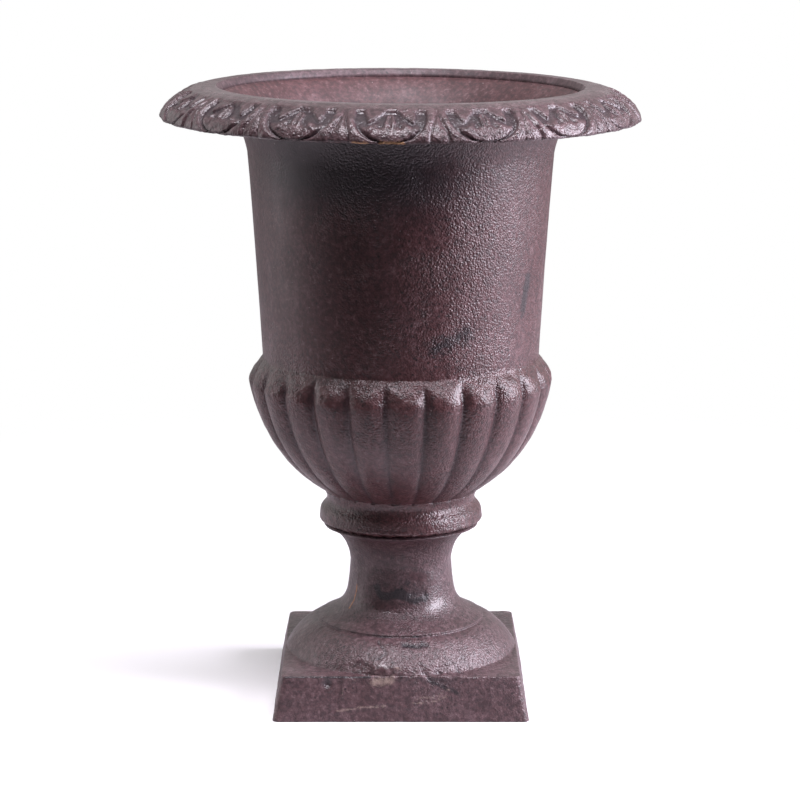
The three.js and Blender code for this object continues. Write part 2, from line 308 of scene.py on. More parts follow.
# %% [markdown]
# ## Egg and dart
# One unit of the ornament spans 22.5 degrees. It could be modelled once and copied sixteen times
# around the rim, but then each copy would need joining. Here its height is a formula of two
# numbers: how many degrees a point lies from the middle of the egg, and how far it lies from the
# lip along the surface. Broad shapes are laid first and small ones over them, as a carver works.

# %% Shape the frame and the dart
egg_count = 16
egg_span = 360 / egg_count
mm_per_degree = 2.62
shell_top, shell_length, shell_half, shell_fullness = 20, 26.4, 8.7, 2.6
dart_top_half, dart_growth, dart_run = 0.3, 1.9, (20, 46)
frame_low, frame_crown, least_frame = -0.9, 1.1, 0.1
dart_ridge, dart_fall = -0.2, 0.6
groove_depth, groove_width, groove_start = 0.9, 0.7, (19, 24)


def shell_width(v):
    """Degrees from the egg's middle to the inner edge of its U."""
    down = np.clip(v - shell_top, 0, None) / shell_length
    return shell_half * np.sqrt(np.clip(1 - down ** shell_fullness, 0, 1))


def frame_and_dart(away, v):
    """Height of the rounded U, of the dart beside it and of the groove between the two."""
    inner = shell_width(v)
    dart_half = dart_top_half + dart_growth * ease(v, *dart_run)
    outer = egg_span / 2 - dart_half
    across = np.clip((away - inner) / np.maximum(outer - inner, least_frame), 0, 1)
    frame_height = frame_low + frame_crown * np.sqrt(np.clip(1 - (2 * across - 1) ** 2, 0, 1))
    from_ridge = np.clip((egg_span / 2 - away) / dart_half, 0, 1)
    dart_height = dart_ridge - dart_fall * from_ridge
    groove = groove_depth * bell((away - outer) * mm_per_degree, 0, groove_width)
    return np.where(away > outer, dart_height, frame_height) - groove * ease(v, *groove_start)


print("the dart is", 2 * dart_top_half, "degrees wide at its top")

# %% Shape what lies in the hollow
hollow_floor = -2.6
egg_height, egg_rise, egg_round = 2.1, (31, 38), (0.5, 4.5)
pendant_top, pendant_length, pendant_end = 18.5, 12, (29.8, 31)
pendant_height, pendant_fall, pendant_taper = 2.1, 0.3, 0.8
pendant_root, pendant_tip, pendant_half = (3.9, 4.1), (5.0, 5.5), (2.6, 2.3)
bud_top, bud_length, bud_half, bud_height = 22, 18, 1.35, 2.1
bud_rise, bud_fall = (21.4, 23.6), (38, 40.5)
slit_depth, slit_half, slit_rise, slit_fall = 1.2, 0.36, (23, 26), (33, 37)
leaf_level, leaf_length, leaf_place, leaf_lean, leaf_half, leaf_height = 33.5, 3.6, 3.6, 0.6, 0.95, 1.3
dimple_place, dimple_half, dimple_level, dimple_run = 2.5, 0.5, 34.5, 1.6
step_level, step_half, step_reach, step_depth = 18.6, 0.6, 6.6, 0.35


def pendant(u, v):
    """Two leaf tips that hang from the band. The left one is the broader."""
    down = (v - pendant_top) / pendant_length
    root, tip, half = (np.where(u < 0, *pair) for pair in (pendant_root, pendant_tip, pendant_half))
    centre = root + (tip - root) * down
    width = half * np.clip(1 - down, 0, 1) ** pendant_taper
    edge = ease((width - np.abs(np.abs(u) - centre)) * mm_per_degree, -0.8, 1.0)
    return (pendant_height - pendant_fall * down) * edge * (1 - ease(v, *pendant_end))


def bud(away, v):
    """A bud between the leaf tips, round at both of its ends."""
    share = np.clip((v - bud_top) / bud_length, 0, 1)
    width = bud_half * np.sin(np.pi * np.clip(share * 0.75 + 0.12, 0, 1)) ** 0.7
    return ease((width - away) * mm_per_degree, -0.7, 1.0) * plateau(v, bud_rise, bud_fall)


def hollow_shape(u, v):
    """Height inside the U: egg, leaf tips, bud, leaves and the small cuts beside them."""
    away = np.abs(u)
    inside = (shell_width(v) - away) * mm_per_degree
    depth = hollow_floor + egg_height * ease(v, *egg_rise) * ease(inside, *egg_round)
    depth = np.maximum(depth, hollow_floor + pendant(u, v))
    bud_share = bud(away, v)
    depth = np.maximum(depth, hollow_floor + bud_height * bud_share)
    depth -= slit_depth * bell(away, 0, slit_half) * plateau(v, slit_rise, slit_fall)
    leaf_way = (v - leaf_level) / leaf_length
    leaf = bell(away, leaf_place + leaf_lean * leaf_way, leaf_half) * bell(leaf_way, 0, 1)
    depth += leaf_height * leaf * (1 - bud_share)
    depth -= bell(away, dimple_place, dimple_half) * bell(v, dimple_level, dimple_run)
    return depth - step_depth * bell(v, step_level, step_half) * (away < step_reach)


print("the hollow is", -hollow_floor, "mm deep")

# %% Carve the rim
egg_phase = -2.5
band_end = (16.6, 19.8)
carving_end = (46.2, 47.8)
hollow_edge = (-1.1, 0.8)
# Carving depths over which painted shade darkens the hollows of the rim.
painted_shade_depths = (0.7, 2.9)


def past_lip(casting):
    """Distance from the lip along the top of the rim, in millimetres."""
    return arc_lengths(rim_outline)[rim_outline.index(lip_edge)] - read_mask(casting, "along")


def egg_and_dart(u, v):
    """Height in millimetres at u degrees from the middle of the egg and v past the lip."""
    away = np.abs(u)
    inside = ease((shell_width(v) - away) * mm_per_degree, *hollow_edge)
    height = frame_and_dart(away, v) * (1 - inside) + hollow_shape(u, v) * inside
    return height * plateau(v, band_end, carving_end)


def carve_rim(casting):
    points = read_points(casting)
    angle, _ = around(points)
    v = past_lip(casting)
    on_top = v > 0
    wobble = np.where(on_top, lumps(points, size=13, seed=21), 0)
    u = (angle - egg_phase + 0.28 * wobble + egg_span / 2) % egg_span - egg_span / 2
    height = np.where(on_top, egg_and_dart(u, v + 0.5 * wobble), 0)
    rough = lumps(points, size=6, seed=1, depth=0.16)
    rough += lumps(points, size=2.6, seed=2, depth=0.06 + 0.26 * ease(v, 16, 20))
    write_points(casting, raised(casting, points, height + rough))
    # The hollow mask darkens the deep parts of the carving: painted shade.
    keep_mask(casting, "hollow", ease(-height - rough, *painted_shade_depths))
    print("rim carving runs from", round(height.min(), 2), "to", round(height.max(), 2), "mm")


carve_rim(rim)

# %% [markdown]
# ## The bowl
# Below the rim the bowl is one sweep: a cove under the rim, a plain wall, a shoulder, the belly
# of gadroons, a neck and a collar. A Solidify modifier could give it its wall, but the collar is
# solid and the floor is flat, so the inside is drawn too. The outline runs from the bolt hole out
# under the collar, up the outside and back down the inside.

# %% Turn the bowl
bolt_hole = 4.5
boss_radius = 13
recess_radius = 40
recess_top = bowl_base + 7.5
floor_level = recess_top + 7
floor_edge = (34, floor_level)
bowl_wall = 5.5
collar_radius = 53.9
collar_low = (collar_radius - 4, bowl_base)
collar_mid = (collar_radius, bowl_base + 2.1)
collar_high = (collar_radius, bowl_base + 3.7)
neck = (48.8, bowl_base + 16)
gadroon_foot = (50.9, bowl_base + 21.5)
shoulder = (99.65, bowl_base + 94)
gadroon_top = bowl_base + 111.5
body_foot = (90.5, gadroon_top)
body_middle = (94.9, gadroon_top + 80.4)
body_top = (99.3, gadroon_top + 134)
bowl_steps = 480


def sag(start, middle, end, pitch):
    """A curve with one handle, written with the two handles of a bend."""
    start, middle, end = (np.array(place, float) for place in (start, middle, end))
    first = (middle - start) * 2 / 3 / (end - start)
    second = 1 - (end - middle) * 2 / 3 / (end - start)
    return bend(start, end, first, second, pitch)


def inset(place):
    return (place[0] - bowl_wall, place[1])


bowl_outline = [(bolt_hole, floor_level), (bolt_hole, bowl_base), (boss_radius, bowl_base)]
bowl_outline += [(boss_radius, recess_top), (recess_radius, recess_top), (recess_radius, bowl_base)]
bowl_outline += corner((recess_radius, bowl_base), collar_low, collar_mid, size=0.8)
bowl_outline += corner(collar_low, collar_mid, collar_high, size=0.7)
bowl_outline += corner(collar_mid, collar_high, neck, size=0.6)
bowl_outline += bend(bowl_outline[-1], neck, (0, 0.7), (0.7, 0.5), pitch=1)
bowl_outline += bend(neck, gadroon_foot, (0.1, 0.5), (0.7, 0.9), pitch=1.4)
bowl_outline += bend(gadroon_foot, shoulder, (-0.04, 0.02), (0.78, 0.23), pitch=1.8)
bowl_outline += bend(shoulder, body_foot, (-0.03, 0.5), (1, 0.9), pitch=0.95)
bowl_outline += sag(body_foot, body_middle, body_top, pitch=3.6)
bowl_outline += bend(body_top, cove_end, (0.11, 0.42), (0.45, 0.93), pitch=3)
bowl_outline += straight(cove_end, lip_low, pitch=4)
bowl_outline += bend(lip_low, inset(body_top), (0.58, 0.22), (0.9, 0.57), pitch=4)
bowl_outline += sag(inset(body_top), inset(body_middle), inset(body_foot), pitch=12)
bowl_outline += bend(inset(body_foot), floor_edge, (-0.1, 0.4), (0.34, 0.86), pitch=5)
bowl_outline += straight(floor_edge, (bolt_hole, floor_level), pitch=6)[:-1]
bowl = turn("bowl_casting", bowl_outline, bowl_steps)

# %% [markdown]
# ## Gadroons
# Twenty-four upright lobes ring the belly. Each is round across, stands full at the shoulder and
# dies away on the neck, and a deep crease parts each two. They could be modelled one by one and
# joined, but a formula that draws the skin in towards the creases keeps the wall in one piece.

# %% Carve the gadroons
gadroon_count = 24
gadroon_span = 360 / gadroon_count
gadroon_phase = -5.625
gadroon_depth = 5.2
gadroon_roundness = 0.985
gadroon_rise = 13.5
crease_sharpness = 8
pit_depth, pit_half, pit_level, pit_height = 0.3, 0.08, bowl_base + 95, 6
least_belly_radius = 49
outside_end = arc_lengths(bowl_outline)[bowl_outline.index(cove_end)]


def crease_place(angle):
    """How far across its lobe a point lies: 0 in the middle, 1 or -1 in a crease."""
    return 2 * (((angle - gadroon_phase) / gadroon_span) % 1) - 1


def carve_gadroons(casting):
    points = read_points(casting)
    angle, radius = around(points)
    level = points[:, 2]
    outside = (level > gadroon_foot[1]) & (level < gadroon_top) & (radius > least_belly_radius)
    outside &= read_mask(casting, "along") < outside_end
    across = crease_place(angle)
    full_drop = 1 - math.sqrt(1 - gadroon_roundness ** 2)
    drop = (1 - np.sqrt(1 - (gadroon_roundness * across) ** 2)) / full_drop
    rise = ease(gadroon_top - level, 0, gadroon_rise)
    depth = gadroon_depth * rise * (radius / shoulder[0]) ** 2
    pits = pit_depth * bell(np.abs(across), 1, pit_half) * bell(level, pit_level, pit_height)
    drawn = np.where(outside, depth * drop + pits, 0)
    points[:, :2] *= ((radius - drawn) / radius)[:, None]
    write_points(casting, points)
    # The hollow mask darkens the creases between the lobes: painted shade.
    keep_mask(casting, "hollow", np.where(outside, np.abs(across) ** crease_sharpness * rise, 0))
    print("creases are up to", round(drawn.max(), 2), "mm deep")


carve_gadroons(bowl)

# %% [markdown]
# ## The foot
# Stem, dome and plinth are one casting, hollow from below. The dome is turned and the plinth is
# square, and the real dome runs out to the very edge of the plinth's top. The foot could be a
# turned dome joined to a box by a boolean. Here its lower rings are drawn out into squares
# instead, so the rough join between dome and plinth can be modelled on one skin.

# %% Draw the foot's outline
plinth_top = 28.8
plinth_top_half = 77.1
plinth_corner = 4
foot_wall = 6
hollow_top = plinth_top - foot_wall
stem_hollow = 27.4
plate_under = foot_top - 8
plate_ring = (22.5, foot_top)
ground_ring = (76.5, plinth_top)
crease = (55, plinth_top + 21)
dome_start = (crease[0] - 0.5, crease[1] - 1.5)
above_crease = (crease[0] - 5, crease[1] + 2.3)
waist = (33.4, crease[1] + 38.2)
head = (51.3, waist[1] + 24.9)
head_edge = (49.5, foot_top)


def plinth_side(level):
    """Half the width of the plinth at a level."""
    return plinth_half - (plinth_half - plinth_top_half) * level / plinth_top


turned_part = corner((bolt_hole, foot_top), head_edge, head, size=0.5)
turned_part += corner(head_edge, head, waist, size=0.6)
turned_part += bend(turned_part[-1], waist, (0.6, 0.14), (0.92, 0.5), pitch=1.3)
turned_part += bend(waist, crease, (0.09, 0.72), (0.1, 0.76), pitch=1.4)[:-1]
turned_part += corner(above_crease, crease, dome_start, size=0.5)
turned_part += [dome_start]
turned_part += bend(dome_start, ground_ring, (0.4, 0.06), (0.85, 0.6), pitch=1)

edge_start = (plinth_top_half - 0.9, plinth_top)
side_low = (plinth_side(1), 1)
wall_foot = (plinth_half - foot_wall, 0)
square_part = corner(edge_start, (plinth_top_half, plinth_top), side_low, size=0.8)
square_part += straight(square_part[-1], side_low, pitch=1.25)
square_part += corner(side_low, (plinth_half, 0), wall_foot, size=0.6)
square_part += [wall_foot]
square_part += straight(wall_foot, (plinth_side(hollow_top) - foot_wall, hollow_top), pitch=6)

under_part = [(64.5, hollow_top)]
under_part += bend(under_part[-1], (49, crease[1] - foot_wall), (0.15, 0.4), (0.55, 0.78), pitch=5)
under_part += bend(under_part[-1], (stem_hollow, waist[1]), (0.9, 0.24), (0.91, 0.28), pitch=5)
under_part += [(stem_hollow, plate_under), (bolt_hole, plate_under)]
print("rings: turned", len(turned_part), "square", len(square_part), "under", len(under_part))

# %% Turn the foot
flare_shares = [0.15, 0.3, 0.45, 0.6, 0.75, 0.9]
flare_gap = 0.02
foot_steps = 624
flare_part = [(ground_ring[0] + flare_gap * share, plinth_top) for share in flare_shares]
foot_outline = [(bolt_hole, foot_top), plate_ring] + turned_part + flare_part + square_part
foot_square = [0] * (len(foot_outline) - len(flare_part) - len(square_part))
foot_square += flare_shares + [1] * len(square_part) + [0] * len(under_part)
foot_outline += under_part
foot = turn("foot_casting", foot_outline, foot_steps, foot_square)


# %% Draw the plinth's rings out into squares
def square_radius(angle, half, rounding):
    """Distance from the axis to the edge of a square with round corners, in a direction."""
    turned_by = np.radians((angle + 45) % 90 - 45)
    flat = half / np.cos(turned_by)
    off_corner = np.pi / 4 - np.abs(turned_by)
    reach = math.sqrt(2) * (half - rounding)
    inside_root = np.clip(rounding ** 2 - (reach * np.sin(off_corner)) ** 2, 0, None)
    rounded = reach * np.cos(off_corner) + np.sqrt(inside_root)
    past_flat = np.abs(np.tan(turned_by)) * half > half - rounding
    return np.where(past_flat, rounded, flat)


def square_up(casting):
    points = read_points(casting)
    angle, radius = around(points)
    share = read_mask(casting, "square")
    target_half = np.where(share < 1, edge_start[0], radius)
    target = square_radius(angle, target_half, plinth_corner)
    wanted = radius + share * (target - radius)
    points[:, :2] *= (wanted / radius)[:, None]
    write_points(casting, points)
    print("plinth is", round(2 * points[:, 0].max(), 1), "mm wide")


square_up(foot)

# %% [markdown]
# ## Marks of casting and of use
# No two castings are alike: sand burns in, iron folds over itself, paint runs. Such marks could be
# painted, but here they are lines and spots at given places. Each is a path of points on the skin,
# and its strength falls off with the distance from that path. The same helper shapes the skin and
# makes the masks that tell the lacquer where it is chipped, sooty or wet.

# %% Lines and spots on the skin
def on_turn(angle, radius, level):
    turn_by = math.radians(angle)
    return (radius * math.sin(turn_by), -radius * math.cos(turn_by), level)


def on_front(across, level):
    return (across, -plinth_side(level), level)


def stroke(points, path, width):
    """1 on the path, falling to 0 over the width in millimetres."""
    path = [np.array(place, float) for place in path]
    nearest = np.full(len(points), np.inf)
    for start, end in zip(path, path[1:] or path):
        way = end - start
        length = max(float(way @ way), 1e-9)
        share = np.clip((points - start) @ way / length, 0, 1)
        gap = np.linalg.norm(points - start - share[:, None] * way, axis=1)
        nearest = np.minimum(nearest, gap)
    return bell(nearest, 0, width)


def strokes(points, marks):
    """The sum of named marks, each given as strength, width and path."""
    total = np.zeros(len(points))
    for strength, width, path in marks.values():
        total += strength * stroke(points, path, width)
    return total


print("a point 90 degrees to the right of the front:", on_turn(90, 100, 0))

# %% [markdown]
# ## Wear of the bowl
# The wall of the bowl is a little uneven, as sand-cast iron is. It was left rough in front and
# rubbed smooth elsewhere. Iron ran into a scratch of the mould on the front and left a faint
# line, and beads of lacquer hang under the collar. The ground rim is also a little out of true.
# A sculpting brush could do all this, but strokes at written places can be read and moved later.

# %% Marks on the bowl
scratch = [on_turn(-34, 96, 286), on_turn(-22, 96, 291), on_turn(-8, 96, 292), on_turn(0, 96, 294)]
bead = [on_turn(9.4, 52.2, 115.6)]
bowl_skin = {
    "line across the front": (0.22, 0.9, scratch),
    "bead under the collar": (1.9, 1.5, bead),
    "run on a gadroon": (0.5, 1.0, [on_turn(25, 66, 143), on_turn(25.6, 70, 151)]),
    "dent at the right": (-0.7, 1.6, [on_turn(59, 94.7, 268), on_turn(58, 94.8, 281)]),
    "dent in front": (-0.5, 2.2, [on_turn(17, 92.4, 247), on_turn(24, 92.6, 252)]),
    "ripple": (0.7, 0.8, [on_turn(-15, 99.6, 214), on_turn(-9, 99.8, 212), on_turn(-3, 99.6, 214)]),
}
bowl_soot = {
    "at the right": (1.3, 4.5, [on_turn(57, 94.6, 262), on_turn(59.5, 95, 284)]),
    "in front": (0.9, 8, [on_turn(14, 92.3, 246), on_turn(27, 92.6, 254)]),
    "up the left side": (0.35, 9, [on_turn(-66, 93.5, 258), on_turn(-58, 95, 300)]),
    "across the left": (0.3, 8, [on_turn(-55, 92.5, 262), on_turn(-30, 92.5, 262)]),
    "on a gadroon": (0.5, 1.2, [on_turn(56.5, 88, 182), on_turn(57.5, 89, 186)]),
}
bowl_scuff = {"line across the front": (0.5, 0.9, scratch)}
bowl_wet = {
    "bead under the collar": (1.4, 2.2, bead),
    "collar at the right": (0.6, 2.5, [on_turn(18, 53.5, 117), on_turn(40, 53.5, 117.5)]),
    "collar at the left": (0.5, 2.5, [on_turn(-30, 53.5, 117), on_turn(-12, 53.5, 117)]),
}
print("marks on the bowl:", len(bowl_skin), "in the skin and", len(bowl_soot), "of soot")

# %% Roughen the bowl
inner_polish = 2.5
rim_dip = 0.9
# shade_depth and the ranges below paint the rim's shadow on the wall under it into the colour.
shade_depth = 1.2
shade_rise, shade_left, shade_right = (318, 352), (-75, -40), (0, 45)


def lean_rim(points):
    """The mouth dips a little towards the right."""
    lean = ease(points[:, 2], gadroon_top + 60, urn_top - 10)
    points[:, 2] -= rim_dip * lean * points[:, 0] / rim_radius


def smooth_skin(angle, level):
    """0 where the skin was left rough, on the front and to its right, and 1 behind."""
    wall = ease(level, gadroon_top, gadroon_top + 25)
    left = (1 - ease(angle, -42, -8)) * wall
    return np.maximum(left, ease(np.abs(angle), 80, 110))


def crown_share(level):
    """1 on the full round tops of the gadroons."""
    return plateau(level, (shoulder[1] - 3, shoulder[1] + 3), (gadroon_top, gadroon_top + 5))


def uneven_bowl(points, level, radius):
    """How far the skin lies from true, in millimetres."""
    belly = plateau(level, (bowl_base + 21, bowl_base + 30), (gadroon_top - 2, gadroon_top + 4))
    crown = crown_share(level)
    low_collar = bell(level, bowl_base, 2.2) * (radius > 45)
    uneven = lumps(points, size=30, seed=3, depth=0.12)
    uneven += lumps(points, size=9, seed=4, depth=0.05 + 0.12 * belly)
    uneven += lumps(points, size=3.5, seed=5, depth=0.02 + 0.1 * belly + 0.25 * crown)
    uneven += lumps(points, size=7, seed=15, depth=0.3 * crown)
    uneven += lumps(points, size=3, seed=6, depth=0.9 * low_collar)
    uneven += lumps(points, size=1.6, seed=7, depth=0.5 * low_collar)
    return uneven + strokes(points, bowl_skin)


def wear_bowl(casting):
    points = read_points(casting)
    angle, radius = around(points)
    level = points[:, 2]
    outside = read_mask(casting, "along") < outside_end
    uneven = uneven_bowl(points, level, radius) * outside
    moved = raised(casting, points, uneven)
    lean_rim(moved)
    write_points(casting, moved)
    # Painted shadow: the upper wall under the rim, around the front, is darkened through the hollow mask.
    shade = shade_depth * outside * ease(level, *shade_rise) * plateau(angle, shade_left, shade_right)
    keep_mask(casting, "hollow", read_mask(casting, "hollow") + shade)
    keep_mask(casting, "dressed", np.where(outside, smooth_skin(angle, level), inner_polish))
    keep_mask(casting, "soot", strokes(points, bowl_soot))
    keep_mask(casting, "scuff", strokes(points, bowl_scuff))
    glossy = crown_share(level) * ease(lumps(points, size=9, seed=16), 0, 0.5)
    keep_mask(casting, "wet", 0.5 * glossy + strokes(points, bowl_wet))
    print("bowl's skin lies", round(uneven.min(), 2), "to", round(uneven.max(), 2), "mm from true")


wear_bowl(bowl)

# %% [markdown]
# ## Wear of the rim
# The rim was knocked at the front, where two chips show bare metal along its lower edge. They could
# be cut into the mesh, but they are no deeper than the lacquer, so a mask for the colour will do.

# %% Wear the rim
rim_chips = {
    "short chip": (1.2, 1.8, [on_turn(-10.5, 154, 381.5), on_turn(-7.5, 154, 381)]),
    "long chip": (1.3, 2.0, [on_turn(-4.4, 154, 381.3), on_turn(0.4, 154, 381)]),
}


def wear_rim(casting):
    points = read_points(casting)
    angle, radius = around(points)
    behind = ease(np.abs(angle), 90, 120)
    keep_mask(casting, "bare", strokes(points, rim_chips))
    keep_mask(casting, "dressed", np.where(radius < lip[0] + 0.5, inner_polish, behind))
    keep_mask(casting, "wet", 0.5 * ease(lumps(points, size=12, seed=17), 0, 0.5))
    lean_rim(points)
    write_points(casting, points)
    print("rim's highest point stands", round(points[:, 2].max() - urn_top, 2), "mm over a true one")


wear_rim(rim)

# %% [markdown]
# ## Wear of the foot
# The foot was fettled less than the bowl. Where the dome meets the front edge of the plinth the
# iron is lumpy, a blown hole and the flash of the mould are left on the front, and seams of the
# mould run down the dome at either side. The lumps could be a mesh of their own, but they run over
# from the turned part to the square one, so they are noise along that edge. The rest are strokes.

# %% Marks in the foot's skin
flash = [on_front(-38, 15.5), on_front(-36.8, 26), on_front(-27.5, 27.2)]
dome_crack = [on_turn(-14, 60, 46), on_turn(-8, 67, 40.5), on_turn(-12, 70, 38)]
foot_skin = {
    "blown hole": (-1.9, 2.7, [on_front(-47.3, 24.2)]),
    "lip of the hole": (0.7, 1.1, [on_front(-47, 20.7), on_front(-44.6, 21.7), on_front(-43.4, 24.2)]),
    "flash": (0.5, 0.6, flash),
    "ridge": (0.3, 1.2, [on_front(-41, 7), on_front(-30, 9.5), on_front(-10, 12), on_front(6, 9)]),
    "fold": (-0.5, 1.0, [on_front(14, 13), on_front(24, 20), on_front(36, 27)]),
    "swell by the fold": (0.4, 1.1, [on_front(8, 10), on_front(20, 15), on_front(30, 23)]),
    "dent at the edge": (-0.7, 2.0, [on_front(19, 27), on_front(27, 26)]),
    "left seam": (0.5, 0.6, [on_turn(-62, 56, 49), on_turn(-66, 66, 42), on_turn(-70, 74, 33)]),
    "right seam": (0.5, 0.6, [on_turn(62, 56, 49), on_turn(66, 66, 42), on_turn(71, 74, 33)]),
    "scar": (-1.0, 2.2, [on_turn(2, 61.4, 45), on_turn(9, 62.5, 44), on_turn(14, 62, 44.5)]),
    "crack": (-0.7, 1.2, dome_crack),
    "left lump": (1.0, 4.0, [on_turn(-13, 73.5, 34), on_turn(-9, 74, 33)]),
    "right lump": (0.9, 3.5, [on_turn(-3, 73.5, 34), on_turn(3, 74, 33)]),
    "dent in the stem": (-0.9, 1.8, [on_turn(12, 35, 72), on_turn(26, 35, 72)]),
    "swell on the stem": (0.6, 2.2, [on_turn(25, 34.5, 78), on_turn(36, 34.5, 80)]),
    "seam of the stem": (0.5, 0.9, [on_turn(-56, 34.4, 80), on_turn(-57, 39, 60)]),
}
print("marks in the foot's skin:", len(foot_skin))

# %% Marks in the foot's lacquer
foot_soot_and_shade = {
    "stem, left": (1.3, 3.0, [on_turn(-28, 35.5, 76), on_turn(-20, 35.5, 70), on_turn(0, 35, 72)]),
    "stem, right": (1.2, 3.0, [on_turn(0, 35, 72), on_turn(14, 35, 67), on_turn(28, 35.5, 69)]),
    "stem, above": (0.6, 5, [on_turn(0, 34, 80), on_turn(14, 34, 78)]),
    "scar": (0.9, 3, [on_turn(2, 61.4, 45), on_turn(9, 62.5, 44), on_turn(16, 62, 44)]),
    "crack": (0.8, 1.6, dome_crack),
    "dome": (0.35, 6, [on_turn(-32, 70, 38), on_turn(-18, 72, 36)]),
    # A dark line of painted shade along the crease, under its small step.
    "crease": (1.1, 1.1, [on_turn(-14, 55.2, 48.4), on_turn(14, 55.2, 48.4)]),
    # A dark line of painted shade along the plinth's top front edge.
    "painted shade along the plinth's edge": (1.4, 0.9, [on_front(-80, plinth_top), on_front(-20, plinth_top)]),
    "fold": (0.8, 2.2, [on_front(18, 26), on_front(27, 23), on_front(37, 18)]),
}
foot_scuff = {
    "under the edge": (1.0, 3.2, [on_front(-17, 25.5), on_front(-6, 26.5)]),
    "dome": (0.7, 1.3, [on_turn(0, 74.5, 33), on_turn(-3, 74, 34)]),
    "long streak": (0.9, 0.9, [on_front(-41, 7.2), on_front(-32, 8.6), on_front(-22, 9.6),
                               on_front(-10, 10.3)]),
    "flash": (0.5, 0.7, flash),
    "lower streak": (0.8, 0.9, [on_front(8, 12.2), on_front(22, 13), on_front(30, 17)]),
    "upper streak": (0.7, 0.9, [on_front(10, 15), on_front(24, 16.5), on_front(31, 21)]),
}
foot_rust = {
    "stem": (1.4, 0.8, [on_turn(-56.4, 34.7, 74), on_turn(-57, 36.5, 66), on_turn(-58, 39.7, 58.5)]),
}
foot_wet = {
    "stem": (1.2, 4.0, [on_turn(16, 34, 84), on_turn(38, 34.3, 80)]),
    "foot of the stem, left": (1.2, 3.6, [on_turn(-24, 37, 64), on_turn(-8, 38, 62)]),
    "foot of the stem, right": (1.0, 6, [on_turn(26, 38, 62), on_turn(48, 37, 66)]),
    "dome, left": (0.9, 4, [on_turn(-22, 72, 36), on_turn(-8, 74, 33)]),
    "dome, right": (0.5, 4, [on_turn(16, 72, 36), on_turn(42, 72, 36)]),
    "crease": (0.5, 4, [on_turn(-60, 55.5, 49.8), on_turn(60, 55.5, 49.8)]),
}
print("marks in the foot's lacquer:", len(foot_soot_and_shade) + len(foot_scuff) + len(foot_rust) + len(foot_wet))

# %% Roughen the foot
join_middle, join_half, join_height, join_front = 6, 42, 4, -66
foot_outside_end = arc_lengths(foot_outline)[len(foot_outline) - len(under_part) - 3]


def uneven_foot(points, level):
    """How far the skin lies from true, in millimetres."""
    along_join = np.exp(-((points[:, 0] - join_middle) / join_half) ** 4)
    join = bell(level, plinth_top, join_height) * along_join * (points[:, 1] < join_front)
    uneven = lumps(points, size=18, seed=8, depth=0.2)
    uneven += lumps(points, size=6, seed=9, depth=0.12)
    uneven += lumps(points, size=2.6, seed=10, depth=0.07)
    uneven += lumps(points, size=6, seed=11, depth=1.2 * join)
    uneven += lumps(points, size=3, seed=12, depth=0.9 * join)
    return uneven + strokes(points, foot_skin)


def wear_foot(casting):
    points = read_points(casting)
    outside = (around(points)[1] > 30) & (read_mask(casting, "along") < foot_outside_end)
    uneven = uneven_foot(points, points[:, 2])
    height = uneven * outside
    moved = raised(casting, points, height)
    moved[:, 2] = np.maximum(moved[:, 2], 0)
    write_points(casting, moved)
    # The hollow mask darkens the skin where it is pressed in, as in dents, the blown hole and the fold:
    # painted shade.
    keep_mask(casting, "hollow", np.clip(-uneven, 0, 1))
    keep_mask(casting, "soot", strokes(points, foot_soot_and_shade))
    keep_mask(casting, "scuff", strokes(points, foot_scuff))
    keep_mask(casting, "rust", strokes(points, foot_rust))
    keep_mask(casting, "wet", strokes(points, foot_wet))
    print("foot's skin lies", round(height.min(), 2), "to", round(height.max(), 2), "mm from true")


wear_foot(foot)

# %% [markdown]
# ## Node helpers
# Node trees could be wired line by line, but they are easier to read when each node is made in one
# line, with its settings and with what feeds its sockets. The shared effects are node groups, made
# once and placed in every material that needs them.

# %% Make nodes
def feed(tree, made, inputs):
    """Link each named socket to a node's output, or set it to a value."""
    for socket, value in inputs.items():
        if isinstance(value, bpy.types.NodeSocket):
            tree.links.new(value, made.inputs[socket])
        else:
            made.inputs[socket].default_value = value
    return made


def node(tree, kind, inputs=None, **settings):
    made = tree.nodes.new(kind)
    for name, value in settings.items():
        setattr(made, name, value)
    return feed(tree, made, inputs or {})


def math_node(tree, operation, first, second=0.0, clamp=False):
    made = node(tree, "ShaderNodeMath", {0: first, 1: second}, operation=operation, use_clamp=clamp)
    return made.outputs[0]


def weighed(tree, *parts):
    """The sum of some values, each times its weight."""
    total = 0.0
    for value, weight in parts:
        total = math_node(tree, "ADD", math_node(tree, "MULTIPLY", value, weight), total)
    return total


def remap(tree, value, low, high, to_low=0.0, to_high=1.0):
    ranges = {"Value": value, "From Min": low, "From Max": high, "To Min": to_low, "To Max": to_high}
    return node(tree, "ShaderNodeMapRange", ranges, interpolation_type="SMOOTHSTEP").outputs["Result"]


def mix_color(tree, share, first, second):
    """A Mix node has sockets for each kind of value. Those for colours are 6 and 7, and output 2."""
    mixer = node(tree, "ShaderNodeMix", data_type="RGBA")
    return feed(tree, mixer, {0: share, 6: first, 7: second}).outputs[2]


def noise_value(tree, position, scale, detail=2.0, roughness=0.5):
    ways = {"Vector": position, "Scale": scale, "Detail": detail, "Roughness": roughness}
    return node(tree, "ShaderNodeTexNoise", ways).outputs["Fac"]


def dots(tree, position, scale, edge, core):
    """1 in the middle of scattered dots, 0 outside their edge."""
    cells = node(tree, "ShaderNodeTexVoronoi", {"Vector": position, "Scale": scale})
    return remap(tree, cells.outputs["Distance"], edge, core)


print("node helpers are ready")

